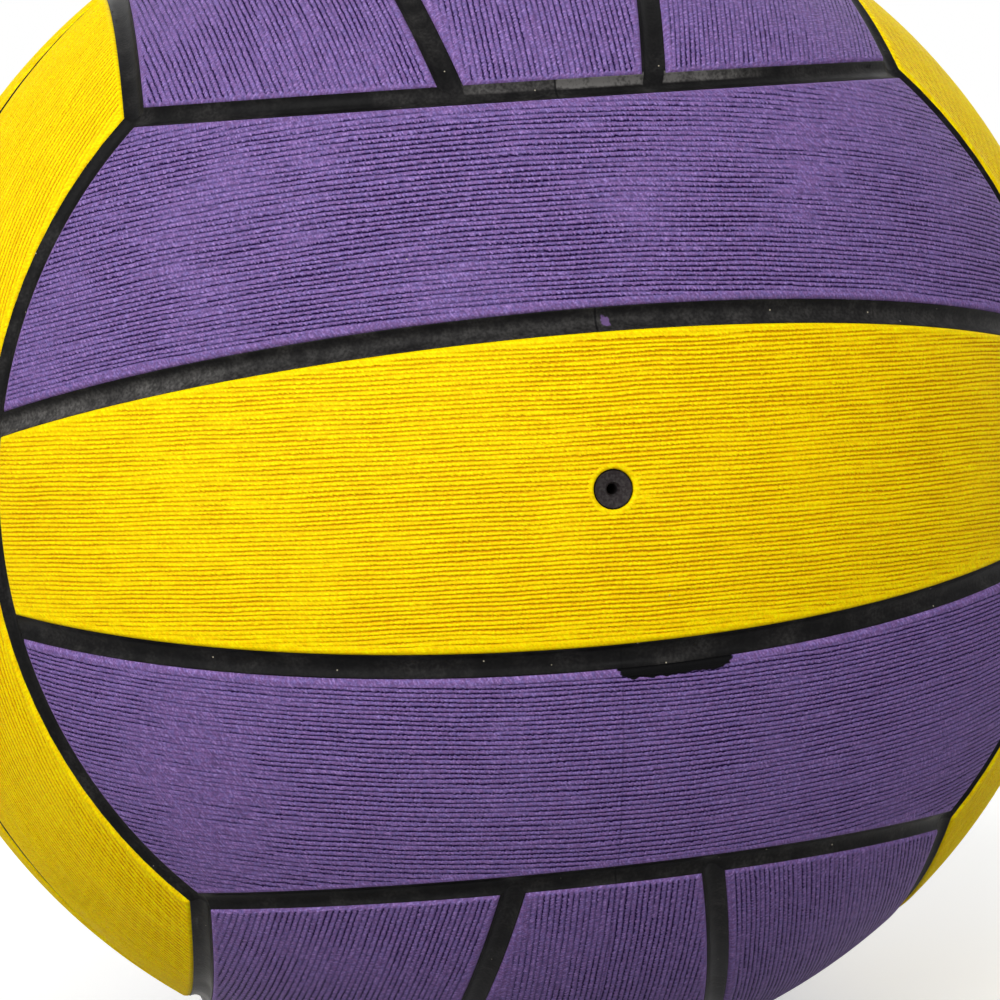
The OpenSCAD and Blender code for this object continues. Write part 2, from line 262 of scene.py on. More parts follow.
class Nodes:
    """Adds the nodes that are used most. Each method returns its node's main output."""

    def __init__(self, tree):
        self.tree = tree

    def math(self, operation, *values):
        return add(self.tree, "ShaderNodeMath", enumerate(values), operation=operation)[0]

    def product(self, first, *others):
        for other in others:
            first = self.math("MULTIPLY", first, other)
        return first

    def vector(self, operation, *values, output=0):
        outputs = add(self.tree, "ShaderNodeVectorMath", enumerate(values), operation=operation)
        return outputs[output]

    def ramp(self, value, low, high, start=0.0, end=1.0):
        """A smooth step, from start at low to end at high."""
        return add(self.tree, "ShaderNodeMapRange",
                   {"Value": value, "From Min": low, "From Max": high, "To Min": start,
                    "To Max": end}, interpolation_type="SMOOTHSTEP")[0]

    def noise(self, place, size=1.0, detail=2.0):
        """Noise from 0 to 1, in patches of a size."""
        return add(self.tree, "ShaderNodeTexNoise",
                   {"Vector": place, "Scale": 1 / size, "Detail": detail})[0]

    def blend(self, share, first, second):
        """A mix of two colours."""
        return add(self.tree, "ShaderNodeMix", {0: share, 6: first, 7: second},
                   data_type="RGBA")[2]

    def specks(self, place, spacing, near, far, luck):
        """1 in the middle of some cells and 0 elsewhere. near and far are shares of the spacing."""
        cells = add(self.tree, "ShaderNodeTexVoronoi", {"Vector": place, "Scale": 1 / spacing})
        lucky = add(self.tree, "ShaderNodeSeparateColor", {"Color": cells["Color"]})[0]
        return self.product(self.ramp(cells["Distance"], near, far, 1.0, 0.0),
                            self.ramp(lucky, luck, luck + 0.02))

    def bump(self, height, distance, strength=1.0):
        return add(self.tree, "ShaderNodeBump",
                   {"Strength": strength, "Distance": distance, "Height": height})[0]


def unit(vectors):
    """Vectors of the same directions and of length 1."""
    return vectors / np.linalg.norm(vectors, axis=-1, keepdims=True)


class Wall:
    """A panel's wall: a circle on the ball, at an angle from an axis through the ball's centre.

    A wall at a strip's end, on the side of -Y or +Y, counts only on that side.
    """

    def __init__(self, axis, polar, end=0):
        self.axis, self.polar, self.end = np.array(axis, float), polar, end

    def distance(self, points):
        """Angles from points on the unit ball to the wall."""
        gap = np.abs(np.arccos(np.clip(points @ self.axis, -1, 1)) - self.polar)
        return np.where(self.end * points[..., 1] < 0, math.pi, gap)

    def crossing(self, other, side):
        """The point where this wall meets another one, on the side of +Y or -Y."""
        share = self.axis @ other.axis
        spread = 1 - share * share
        near, far = math.cos(self.polar), math.cos(other.polar)
        foot = (near - far * share) * self.axis + (far - near * share) * other.axis
        foot = foot / spread
        across = np.cross(self.axis, other.axis) * math.sqrt((1 - foot @ foot) / spread)
        return max(foot + across, foot - across, key=lambda point: side * point[1])

    def between(self, start, end, shares):
        """Points on the wall at shares of the way from start to end."""
        out = unit(start - self.axis * (start @ self.axis))
        along = np.cross(self.axis, out)
        turns = shares[:, None] * math.atan2(end @ along, end @ out)
        ring = np.cos(turns) * out + np.sin(turns) * along
        return math.cos(self.polar) * self.axis + math.sin(self.polar) * ring


def side_axis_lean(side_seam):
    """Lean of a side seam's axis, at which the seams of three faces meet in a corner."""
    corner = 1 / math.sqrt(3)
    return math.atan2(corner - math.sin(side_seam), math.cos(side_seam) - corner)


def strip_walls(pattern, strip):
    """Walls of a strip: low, high, and at both ends. strip is -1, 0 or 1, from low to high."""
    lean = side_axis_lean(pattern.side_seam)
    side_polar = math.pi / 2 - pattern.side_seam - lean
    strip_polar = math.pi / 2 - pattern.strip_seam + pattern.strip_lean
    half = pattern.channel_w / 2 / pattern.radius
    side = Wall((math.sin(lean), 0, math.cos(lean)), side_polar + half)
    tilt = (-math.sin(pattern.strip_lean), 0, math.cos(pattern.strip_lean))
    inner = Wall(tilt, strip_polar + half)
    outer = Wall(tilt, strip_polar - half)

    def flipped(wall):
        return Wall(wall.axis * (1, 1, -1), wall.polar)

    ends = [Wall((math.cos(lean), sign * math.sin(lean), 0), side_polar - half, sign)
            for sign in (-1, 1)]
    low, high = {
        1: (outer, side),
        0: (flipped(inner), inner),
        -1: (flipped(side), flipped(outer)),
    }[strip]
    return low, high, *ends


def rim_shares(edge_r, width):
    """Shares of a width at which a rounded edge is sampled."""
    turns = np.radians(np.linspace(0, 90, EDGE_POINTS))
    return edge_r * (1 - np.cos(turns)) / width


def edge_drop(distance, edge_r):
    """How far a rounded edge lies below the surface, at a distance from its wall."""
    inside = np.clip(edge_r - distance, 0, edge_r)
    return edge_r - np.sqrt(edge_r ** 2 - inside ** 2)


def grid_shares(edge_r, width, step):
    """Shares across a panel: its rounded edges and even steps between them."""
    rim = rim_shares(edge_r, width)
    count = max(2, round((width - 2 * edge_r) / step))
    middle = np.linspace(rim[-1], 1 - rim[-1], count + 1)[1:-1]
    return np.concatenate([rim, middle, 1 - rim[::-1]])


def patch(walls, columns, rows):
    """Points on the unit ball between four walls, at shares along and across."""
    low, high, start, end = walls
    corners = [[wall.crossing(tip, side) for wall in (low, high)]
               for tip, side in ((start, -1), (end, 1))]
    bottom = low.between(corners[0][0], corners[1][0], columns)[:, None]
    top = high.between(corners[0][1], corners[1][1], columns)[:, None]
    left = start.between(corners[0][0], corners[0][1], rows)[None]
    right = end.between(corners[1][0], corners[1][1], rows)[None]
    u, v = columns[:, None, None], rows[None, :, None]
    corner_mix = ((1 - u) * ((1 - v) * corners[0][0] + v * corners[0][1])
                  + u * ((1 - v) * corners[1][0] + v * corners[1][1]))
    return unit((1 - v) * bottom + v * top + (1 - u) * left + u * right - corner_mix)


def groove_place(points, pattern, grooves, strip, spread):
    """Where points lie across their grooves, as a length in which all grooves are evenly spaced.

    A side strip's grooves are circles round the axis of its inner seam, and a centre strip's lie
    round the face's own axis, so they run out at its seams.
    """
    lean = pattern.strip_lean if strip else 0.0
    height = points[:, 2] * math.cos(grooves.skew) - points[:, 1] * math.sin(grooves.skew)
    height = height * (strip or 1)
    found = lean + np.arcsin(np.clip(
        height * math.cos(lean) - points[:, 0] * math.sin(lean), -1, 1))
    centre, inner, outer = spread
    if not strip:
        return pattern.radius * found / centre
    width, growth = pattern.side_seam - pattern.strip_seam, outer / inner - 1
    share = np.clip((found - pattern.strip_seam) / width, -0.5, 2)
    return pattern.radius * strip * width / inner * np.log(1 + growth * share) / growth


class PanelMesh:
    """Closed mesh of one cover panel, before its grooves are cut."""

    def __init__(self, pattern, grooves, strip, pitch, has_hole):
        self.pattern = pattern
        self.points, self.faces = [], []
        self.radius, self.inner = pattern.radius, pattern.radius - pattern.panel_t
        self.walls = strip_walls(pattern, strip)
        low, high = self.walls[:2]
        height = strip * (pattern.side_seam + pattern.strip_seam) / 2
        middle = np.array([math.cos(height), 0, math.sin(height)])
        width = self.radius * float(low.distance(middle) + high.distance(middle))
        long = self.radius * float(self.walls[2].distance(middle) + self.walls[3].distance(middle))
        self.columns = grid_shares(pattern.edge_r, long, grooves.column)
        self.rows = grid_shares(pattern.edge_r, width, pitch / grooves.rows)
        self.reach = pattern.hole_r * RING_REACH
        if has_hole:
            half = self.reach / long
            away = np.abs(self.columns - 0.5) > half
            fine = np.linspace(0.5 - half, 0.5 + half, RING_COLUMNS)
            self.columns = np.sort(np.concatenate([self.columns[away], fine]))
        self.grid = patch(self.walls, self.columns, self.rows)
        self.has_hole = has_hole

    def put(self, directions, radii):
        """Adds points and returns their numbers."""
        first = sum(len(block) for block in self.points)
        self.points.append(np.asarray(directions) * np.reshape(radii, (-1, 1)))
        return np.arange(first, first + len(directions))

    def build(self):
        """Lays out the top, the walls and the inner side."""
        n, m = self.grid.shape[:2]
        flat = self.grid.reshape(-1, 3)
        edge = self.radius * np.min([wall.distance(flat) for wall in self.walls], axis=0)
        drop = edge_drop(edge, self.pattern.edge_r)
        top = self.put(flat, self.radius - drop).reshape(n, m)
        keep = np.ones((n - 1, m - 1), bool)
        coarse_i, coarse_j = (np.unique([*range(0, count - 1, step), count - 1])
                              for count, step in zip((n, m), INNER_STEPS))
        if self.has_hole:
            i0, i1, j0, j1 = self.hole_block()
            keep[i0:i1, j0:j1] = False
            coarse_i = np.unique([*coarse_i[(coarse_i < i0) | (coarse_i > i1)], i0, i1])
            coarse_j = np.unique([*coarse_j[(coarse_j < j0) | (coarse_j > j1)], j0, j1])
        quads = np.stack([top[:-1, :-1], top[1:, :-1], top[1:, 1:], top[:-1, 1:]], -1)
        self.faces += quads[keep].tolist()
        under = {}

        def lay_under(places):
            """Puts points of the inner side under places of the grid."""
            spots = [self.grid[place] for place in places]
            under.update(zip(places, self.put(spots, self.inner).tolist()))

        def loop(i0, i1, j0, j1):
            """Grid places round a block, anticlockwise seen from outside."""
            return ([(i, j0) for i in range(i0, i1)] + [(i1, j) for j in range(j0, j1)]
                    + [(i, j1) for i in range(i1, i0, -1)] + [(i0, j) for j in range(j1, j0, -1)])

        rim = loop(0, n - 1, 0, m - 1)
        lay_under(rim)
        for here, after in zip(rim, rim[1:] + rim[:1]):
            self.faces.append([int(top[after]), int(top[here]), under[here], under[after]])
        lay_under([(i, j) for i in coarse_i[1:-1] for j in coarse_j[1:-1]])
        hole_cell = None
        if self.has_hole:
            hole_cell = (i0, j0)
            self.cut_hole(top, loop(i0, i1, j0, j1), under)
        for a, b in zip(coarse_i[:-1], coarse_i[1:]):
            for c, d in zip(coarse_j[:-1], coarse_j[1:]):
                if (a, c) != hole_cell:
                    cell = [under[place] for place in loop(a, b, c, d) if place in under]
                    self.faces.append(cell[::-1])

    def hole_block(self):
        """Grid places of the block that the rings round the valve hole fill."""
        n, m = self.grid.shape[:2]
        # A little less than the reach, as rounding may put a column on either side of that
        reach = self.reach * 0.98
        along = np.abs(self.grid[:, m // 2, 1]) * self.radius <= reach
        across = np.abs(self.grid[n // 2, :, 2]) * self.radius <= reach
        i, j = np.flatnonzero(along), np.flatnonzero(across)
        return i[0], i[-1], j[0], j[-1]

    def cut_hole(self, top, ring, under):
        """Fills the block round the valve hole with rings, and gives the hole its wall."""
        hole_r, edge_r = self.pattern.hole_r, self.pattern.hole_edge_r
        outer = np.array([self.grid[place][1:] for place in ring]) * self.radius
        circle = unit(outer)
        rim = hole_r + edge_r * (1 - np.cos(np.radians(np.linspace(90, 0, EDGE_POINTS))))
        numbers = np.array([top[place] for place in ring])
        for k in range(1, RING_COUNT + len(rim)):
            if k < RING_COUNT:
                spots = outer + (circle * rim[0] - outer) * k / RING_COUNT
            else:
                spots = circle * rim[k - RING_COUNT]
            drop = edge_drop(np.linalg.norm(spots, axis=1) - hole_r, edge_r)
            numbers = self.join(numbers, self.level(spots, self.radius - drop))
        bottom = self.level(circle * hole_r, self.inner)
        self.join(numbers, bottom)
        corners = [k for k, place in enumerate(ring) if place in under]
        for start, end in zip(corners, corners[1:] + [corners[0] + len(ring)]):
            arc = [int(bottom[k % len(ring)]) for k in range(start, end + 1)]
            self.faces.append([under[ring[start]], *arc, under[ring[end % len(ring)]]])

    def level(self, spots, radius):
        """Points over places in the valve's plane, at a distance from the ball's centre."""
        radius = np.broadcast_to(radius, len(spots))
        height = np.sqrt(radius ** 2 - (spots ** 2).sum(axis=1))
        return self.put(np.column_stack([height, spots]), np.ones(len(spots)))

    def join(self, outer, inner):
        """Joins two rings of the same count by quads, and returns the inner one."""
        rows = np.stack([outer, np.roll(outer, -1), np.roll(inner, -1), inner], -1)
        self.faces += rows.tolist()
        return inner


def wear_at(directions, radius):
    """How far the grooves are worn away, from 0 to 1, at directions from the ball's centre."""
    worn = np.zeros(len(directions))
    for place, reach, most in WORN_SPOTS:
        away = np.linalg.norm(directions - unit(np.array(place, float)), axis=1) * radius / reach
        worn += most * np.exp(-away ** 2)
    return np.clip(worn, 0, 1)


def panel_blank(name, pattern, grooves, face, strip):
    """A panel's closed mesh, with guides that tell where a point lies and how its groove is."""
    has_hole = (face, strip) == ("front", 0)
    turn = np.array(FACES[face], float)
    work = PanelMesh(pattern, grooves, strip, grooves.pitch * SPREAD[face][abs(strip)], has_hole)
    work.build()
    points = np.concatenate(work.points)
    directions = unit(points)
    edge = work.radius * np.array([wall.distance(directions) for wall in work.walls])
    edge[2:] *= grooves.lip / grooves.end_lip
    edge = edge.min(axis=0)
    if has_hole:
        spread = np.linalg.norm(points[:, 1:], axis=1) - pattern.hole_r
        edge = np.minimum(edge, spread + grooves.lip - grooves.valve_lip)
    below_edges = work.radius - pattern.edge_r * 1.01
    edge[np.linalg.norm(points, axis=1) < below_edges] = 0
    wear = wear_at(directions @ turn, work.radius)
    if face in CALM_FACES:
        wear = np.maximum(wear, CALM_WEAR)
    if strip in FAINT_SIDE:
        side, reach, most = FAINT_SIDE[strip]
        away = work.walls[side].distance(directions) * work.radius / reach
        wear = np.maximum(wear, most * np.clip(2 - 2 * away, 0, 1))
    along = np.arctan2(directions[:, 1], directions[:, 0]) * work.radius
    spill = np.zeros(len(points))
    if (face, strip) == SPILL_ON:
        spill = 1 - work.walls[1].distance(directions) * work.radius / SPILL_REACH
        spill *= np.clip(np.minimum(along - SPILL_SPAN[0], SPILL_SPAN[1] - along) / MM, 0, 1)
    guides = {
        "across": groove_place(directions, pattern, grooves, strip, SPREAD[face]),
        "along": along,
        "rim": edge,
        "wear": wear,
        "spill": np.clip(spill, 0, 1),
    }
    mesh = bpy.data.meshes.new(name)
    mesh.from_pydata((points @ turn).tolist(), [], work.faces)
    for guide, values in guides.items():
        mesh.attributes.new(guide, "FLOAT", "POINT").data.foreach_set("value", values)
    mesh.validate()
    return mesh


def groove_tree():
    """Geometry Nodes tree that cuts wandering grooves into a panel and leaves its lip smooth."""
    tree = bpy.data.node_groups.new("grip_grooves", "GeometryNodeTree")
    face = tree.interface
    face.new_socket("Panel", in_out="INPUT", socket_type="NodeSocketGeometry")
    for name in ("Pitch", "Depth", "Lip", "Wander", "First groove", "Seed"):
        face.new_socket(name, in_out="INPUT", socket_type="NodeSocketFloat")
    face.new_socket("Rubber", in_out="INPUT", socket_type="NodeSocketMaterial")
    face.new_socket("Panel", in_out="OUTPUT", socket_type="NodeSocketGeometry")
    given = add(tree, "NodeGroupInput")
    place = add(tree, "GeometryNodeInputPosition")[0]
    across, along, rim, wear = (
        add(tree, "GeometryNodeInputNamedAttribute", {"Name": name})[0]
        for name in ("across", "along", "rim", "wear"))

    nodes = Nodes(tree)
    math_node, product, ramp = nodes.math, nodes.product, nodes.ramp

    def noise(vector, size=1.0, detail=1.0):
        """Noise from -0.5 to 0.5, in patches of a size."""
        value = add(tree, "ShaderNodeTexNoise",
                    {"Vector": vector, "W": given["Seed"], "Scale": 1 / size, "Detail": detail},
                    noise_dimensions="4D")[0]
        return math_node("SUBTRACT", value, 0.5)

    def lanes(wide, long):
        """Places stretched along the grooves: wide is in grooves and long is in metres."""
        lane = math_node("DIVIDE", across, product(given["Pitch"], wide))
        run = math_node("DIVIDE", along, long)
        return add(tree, "ShaderNodeCombineXYZ",
                   {"X": lane, "Y": run, "Z": given["First groove"]})[0]

    # A groove strays with its surroundings, with its neighbours, and a little on its own
    sway = math_node("ADD", noise(place, 14 * MM), noise(lanes(1.5, 18 * MM), detail=2.0))
    sway = math_node("ADD", sway, product(noise(place, 3.5 * MM), 0.2))
    stray = product(sway, given["Wander"])
    count = math_node("DIVIDE", math_node("ADD", across, stray), given["Pitch"])
    count = math_node("ADD", count, given["First groove"])
    wave = math_node("COSINE", product(count, 2 * math.pi))
    valley = math_node("POWER", math_node("MULTIPLY_ADD", wave, -0.5, 0.5), NARROWING)

    # It is shallower in patches, breaks off here and there, and is worn away by the guide
    past_lip = ramp(rim, given["Lip"], product(given["Lip"], LIP_FADE))
    worn = product(ramp(noise(place, 20 * MM, 2.0), -0.18, 0.1, 0.55),
                   ramp(noise(lanes(0.9, 13 * MM), detail=2.0), -0.2, 0.02, 0.3))
    patchy = ramp(noise(lanes(2.5, 3.5 * MM), detail=2.0), -0.12, 0.1, 1.0, 0.25)
    kept = math_node("SUBTRACT", 1.0, product(wear, patchy))
    cut = product(past_lip, worn, kept)
    sink = product(valley, cut, given["Depth"])
    inward = add(tree, "ShaderNodeVectorMath",
                 {0: nodes.vector("NORMALIZE", place), "Scale": product(sink, -1)},
                 operation="SCALE")[0]
    panel = add(tree, "GeometryNodeStoreNamedAttribute",
                {"Geometry": given["Panel"], "Name": "groove_count", "Value": count})[0]
    panel = add(tree, "GeometryNodeStoreNamedAttribute",
                {"Geometry": panel, "Name": "groove_cut", "Value": cut})[0]
    panel = add(tree, "GeometryNodeSetPosition", {"Geometry": panel, "Offset": inward})[0]
    panel = add(tree, "GeometryNodeSetShadeSmooth", {"Geometry": panel})[0]
    panel = add(tree, "GeometryNodeRealizeInstances", {"Geometry": panel})[0]
    panel = add(tree, "GeometryNodeSetMaterial",
                {"Geometry": panel, "Material": given["Rubber"]})[0]
    add(tree, "NodeGroupOutput", {"Panel": panel})
    return tree


def shaped(name, mesh, tree, values):
    """Runs a tree on a mesh and returns the result as a plain object."""
    blank = bpy.data.objects.new(name + "_blank", mesh)
    bpy.context.scene.collection.objects.link(blank)
    modifier = blank.modifiers.new("shape", "NODES")
    modifier.node_group = tree
    for item in tree.interface.items_tree:
        if item.in_out == "INPUT" and item.name in values:
            modifier[item.identifier] = values[item.name]
    bpy.context.view_layer.update()
    seen = blank.evaluated_get(bpy.context.evaluated_depsgraph_get())
    made = bpy.data.meshes.new_from_object(seen)
    blank.modifiers.remove(modifier)
    bpy.data.objects.remove(blank)
    bpy.data.meshes.remove(mesh)
    made.name = name
    piece = bpy.data.objects.new(name, made)
    bpy.context.scene.collection.objects.link(piece)
    return piece


def surface(name, build):
    """A material whose Principled shader gets what build returns: sockets by name."""
    material = bpy.data.materials.new(name)
    material.use_nodes = True
    tree = material.node_tree
    tree.nodes.clear()
    shader = add(tree, "ShaderNodeBsdfPrincipled", build(tree))[0]
    add(tree, "ShaderNodeOutputMaterial", {"Surface": shader})
    return material


def grip_rubber(name, body, cast_and_valley_shade, painted_sheen, groove, speck, spilt, mottle):
    """Moulded grip rubber: matt ridges with the twist of a thread, a painted highlight and a
    painted sheen, between serrated grooves with painted shade in them.

    mottle tells how much the colour varies from grain to grain, from 0 to 1.
    """

    def build(tree):
        nodes = Nodes(tree)
        math_node, product, ramp, noise, blend = (
            nodes.math, nodes.product, nodes.ramp, nodes.noise, nodes.blend)
        place = add(tree, "ShaderNodeTexCoord")["Object"]
        x, _, z = add(tree, "ShaderNodeSeparateXYZ", {"Vector": place})
        count, cut, along, rim, spill = (
            add(tree, "ShaderNodeAttribute", attribute_name=guide)["Fac"]
            for guide in ("groove_count", "groove_cut", "along", "rim", "spill"))

        def track(wide, long, slant=0.0):
            """Places along the grooves: wide is in grooves, long in metres, and slant turns it."""
            lane = math_node("DIVIDE", count, wide)
            run = math_node("MULTIPLY_ADD", count, slant, math_node("DIVIDE", along, long))
            return add(tree, "ShaderNodeCombineXYZ", {"X": lane, "Y": run})[0]

        grain = noise(place, 0.3 * MM, 1.0)
        twist = noise(track(1.5, 0.42 * MM, 1.3), detail=1.0)
        serrated = math_node("MULTIPLY_ADD", math_node("SUBTRACT", twist, 0.5), 0.6, count)
        wave = math_node("COSINE", product(serrated, 2 * math.pi))
        valley = math_node("MULTIPLY_ADD", wave, -0.5, 0.5)

        # Painted shade in each groove: its line is wider where the groove is deep, and varies in
        # beads along it
        line = ramp(valley, math_node("MULTIPLY_ADD", cut, -0.24, 0.92),
                    math_node("MULTIPLY_ADD", cut, -0.08, 1.0))
        line = product(line, 0.3 + 0.7 * mottle)
        beads = ramp(noise(track(0.9, 0.7 * MM)), 0.3, 0.5, 0.55)
        painted_shade_and_parting = product(line, product(beads, ramp(cut, 0.0, 0.75)))

        # Bare rubber, where no groove is cut, gets painted shade in fine creases, and the mould's
        # parting line crosses it
        crease_shade = product(ramp(noise(place, 1.1 * MM, 4.0), 0.52, 0.64),
                          ramp(cut, 0.15, 0.6, 1.0, 0.0),
                          ramp(rim, 1.0 * MM, 1.6 * MM, 0.1 * mottle, 0.3 * mottle))
        parting = product(ramp(math_node("ABSOLUTE", x), 0.08 * MM, 0.2 * MM, 1.0, 0.0),
                          ramp(z, -35 * MM, -25 * MM, 0.35, 0.0))
        painted_shade_and_parting = math_node("MAXIMUM", math_node("MAXIMUM", painted_shade_and_parting, crease_shade), parting)

        # Painted highlight on the ridges and painted shade towards the valleys, times the rubber's
        # own tone, which varies with the twist, the grain and in lanes
        swing = 0.16 * mottle
        value = product(ramp(valley, 0.0, 0.7, 1.06, 0.9),
                        ramp(twist, 0.3, 0.7, 1 - swing, 1 + swing),
                        ramp(grain, 0.3, 0.7, 1 - swing, 1 + swing),
                        ramp(noise(track(2.0, 6 * MM), detail=3.0), 0.35, 0.65, 0.95, 1.05))
        # Painted shade in the valleys, in the cast colour, which also tints random patches
        valley_shade = product(ramp(valley, 0.4, 0.8), ramp(cut, 0.1, 0.5))
        patches = ramp(noise(place, 0.6 * MM), 0.4, 0.65)
        tint = blend(math_node("MAXIMUM", valley_shade, patches), body, cast_and_valley_shade)
        # Painted sheen: spots where the twist and the grain are high are lightened towards a paler
        # colour
        tint = blend(ramp(math_node("ADD", twist, grain), 0.98, 1.35, 0.0, 0.5), tint, painted_sheen)
        tint = add(tree, "ShaderNodeVectorMath", {0: tint, "Scale": value}, operation="SCALE")[0]
        # Painted shade: the groove colour fills the grooves and creases, and marks the parting line
        shade = blend(painted_shade_and_parting, nodes.vector("MINIMUM", tint, (1.0, 1.0, 1.0)), groove)
        shade = blend(nodes.specks(place, 9 * MM, 0.009, 0.016, 0.55), shade, speck)
        ragged = math_node("MULTIPLY_ADD", math_node("SUBTRACT", noise(place, 1.5 * MM), 0.5),
                           0.5, spill)
        shade = blend(ramp(ragged, 0.24, 0.3), shade, spilt)
        height = math_node("MULTIPLY_ADD", product(ramp(valley, 0.5, 1.0), cut), -1.0,
                           product(math_node("ADD", grain, twist), 0.4 * mottle))
        return {"Base Color": shade, "Roughness": ramp(grain, 0.3, 0.7, 0.5, 0.65),
                "Specular IOR Level": 0.05, "Normal": nodes.bump(height, 0.12 * MM)}

    return surface(name, build)


def seam_circles():
    """World axis and polar angle of the front face's upper side seam and upper strip seam."""
    side_seam, strip_seam, strip_lean = map(math.radians, (SIDE_SEAM, STRIP_SEAM, STRIP_LEAN))
    lean = side_axis_lean(side_seam)
    return (((0.0, -math.sin(lean), math.cos(lean)), math.pi / 2 - side_seam - lean),
            ((0.0, math.sin(strip_lean), math.cos(strip_lean)),
             math.pi / 2 - strip_seam + strip_lean))


def channel_rubber(name, body, dust_and_sheen, dot, smear):
    """Black moulded rubber: satin and mottled, with a mould's parting line, dust, a smear, and
    painted highlights in two channels.
    """

    def build(tree):
        nodes = Nodes(tree)
        math_node, product, ramp, noise, blend = (
            nodes.math, nodes.product, nodes.ramp, nodes.noise, nodes.blend)
        place = add(tree, "ShaderNodeTexCoord")["Object"]
        x, y, _ = add(tree, "ShaderNodeSeparateXYZ", {"Vector": place})
        outward = nodes.vector("NORMALIZE", place)
        (side_axis, side_polar), (strip_axis, strip_polar) = seam_circles()

        def beyond(axis, polar, where=outward):
            """How far a place lies outside a seam's middle, seen from the seam's axis."""
            share = nodes.vector("DOT_PRODUCT", where, axis, output=1)
            turn = math_node("SUBTRACT", math_node("ARCCOSINE", share), polar)
            return product(turn, BALL_RADIUS)

        fine = noise(place, 0.5 * MM, 3.0)
        film = noise(place, 8 * MM, 5.0)
        share = ramp(film, 0.4, 0.7, 0.03, 0.14)

        # A painted highlight, for a lamp's reflection, lies in the upper half of the front's upper
        # side channel. It leaves out the mouths of the top's strip channels, and is thinner to the
        # left of the parting line
        from_side = beyond(side_axis, side_polar)
        mouth = beyond((strip_axis[2], 0.0, -strip_axis[1]), strip_polar,
                       nodes.vector("ABSOLUTE", outward))
        rise = math_node("MAXIMUM", math_node("ADD", from_side, 1.0 * MM), 0.0)
        mouth = math_node("SQRT", math_node("ADD", product(mouth, mouth),
                                            math_node("POWER", rise, 2.0)))
        ends = product(ramp(x, -17 * MM, -15 * MM), ramp(x, 17 * MM, 41 * MM, 1.0, 0.0))
        side_highlight = product(
            ramp(from_side, -0.9 * MM, -0.3 * MM, 1.0, 0.0), ramp(mouth, 1.6 * MM, 1.8 * MM),
            ramp(from_side, -2.5 * MM, -2.2 * MM), ends, ramp(x, -0.1 * MM, 0.1 * MM, 0.42, 1.15))

        # Another painted highlight lies in the lower half of the upper strip channel, thickest at
        # its left end
        from_strip = beyond(strip_axis, strip_polar)
        strip_highlight = product(
            ramp(from_strip, -1.9 * MM, 0.2 * MM), ramp(from_strip, 4 * MM, 5 * MM, 0.2, 0.0),
            ramp(x, -62 * MM, -48 * MM, 2.6, 1.0), ramp(y, -50 * MM, -40 * MM, 1.0, 0.0))
        share = math_node("MAXIMUM", math_node("MAXIMUM", share, side_highlight), strip_highlight)
        share = product(share, ramp(noise(place, 3 * MM, 3.0), 0.35, 0.65, 0.6, 1.3),
                        ramp(fine, 0.3, 0.75, 0.5, 1.5))
        # The dust colour gives both the real dust and the painted highlights
        shade = blend(share, body, dust_and_sheen)
        parting = ramp(math_node("ABSOLUTE", x), 0.12 * MM, 0.2 * MM, 0.85, 0.0)
        shade = blend(parting, shade, body)
        away = math_node("DIVIDE", nodes.vector("DISTANCE", place, SMEAR_AT, output=1), SMEAR_REACH)
        smeared = math_node("ADD", away, noise(place, 1.2 * MM, 3.0))
        shade = blend(ramp(smeared, 0.85, 1.0, 0.6, 0.0), shade, smear)
        shade = blend(nodes.specks(place, 2.6 * MM, 0.03, 0.06, 0.6), shade, dot)
        return {"Base Color": shade, "Roughness": ramp(film, 0.3, 0.7, 0.34, 0.46),
                "Specular IOR Level": 0.05, "Normal": nodes.bump(fine, 0.05 * MM, 0.6)}

    return surface(name, build)


def valve_rubber(name, body, dust_and_sheen):
    """Soft moulded rubber of the valve: matt and finely grained."""

    def build(tree):
        nodes = Nodes(tree)
        grain = nodes.noise(add(tree, "ShaderNodeTexCoord")["Object"], 0.4 * MM, 4.0)
        dusty = add(tree, "ShaderNodeMapRange",
                    {"Value": grain, "From Min": 0.42, "From Max": 0.68, "To Max": 0.25})[0]
        return {"Base Color": nodes.blend(dusty, body, dust_and_sheen), "Roughness": 0.6,
                "Specular IOR Level": 0.15, "Normal": nodes.bump(grain, 0.05 * MM, 0.7)}

    return surface(name, build)


def wound_nylon(name, body):
    """Nylon thread wound over the bladder: fine crossing strands with a slight sheen."""

    def build(tree):
        nodes = Nodes(tree)
        place = add(tree, "ShaderNodeTexCoord")["Object"]
        strands = 0.0
        for turn in ((0.4, 0.2, 0.9), (1.3, 0.9, 0.1), (2.1, 2.4, 1.2)):
            turned = add(tree, "ShaderNodeMapping", {"Vector": place, "Rotation": turn})[0]
            wave = add(tree, "ShaderNodeTexWave",
                       {"Vector": turned, "Scale": 1 / (6 * MM), "Distortion": 2.0})[1]
            strands = nodes.math("MAXIMUM", strands, wave)
        shadow = tuple(channel * 0.55 for channel in body[:3]) + (1.0,)
        return {"Base Color": nodes.blend(strands, shadow, body), "Roughness": 0.45, "IOR": 1.53,
                "Normal": nodes.bump(strands, 0.1 * MM, 0.8)}

    return surface(name, build)


def dipped_butyl(name, body):
    """Butyl rubber of the bladder: smooth and satin, with a faint bloom of talc."""

    def build(tree):
        nodes = Nodes(tree)
        cloud = nodes.noise(add(tree, "ShaderNodeTexCoord")["Object"], 20 * MM, 6.0)
        bloom = add(tree, "ShaderNodeMapRange",
                    {"Value": cloud, "From Min": 0.4, "From Max": 0.9})[0]
        pale = tuple(0.5 * channel + 0.12 for channel in body[:3]) + (1.0,)
        return {"Base Color": nodes.blend(bloom, body, pale), "Roughness": 0.4, "IOR": 1.53}

    return surface(name, build)


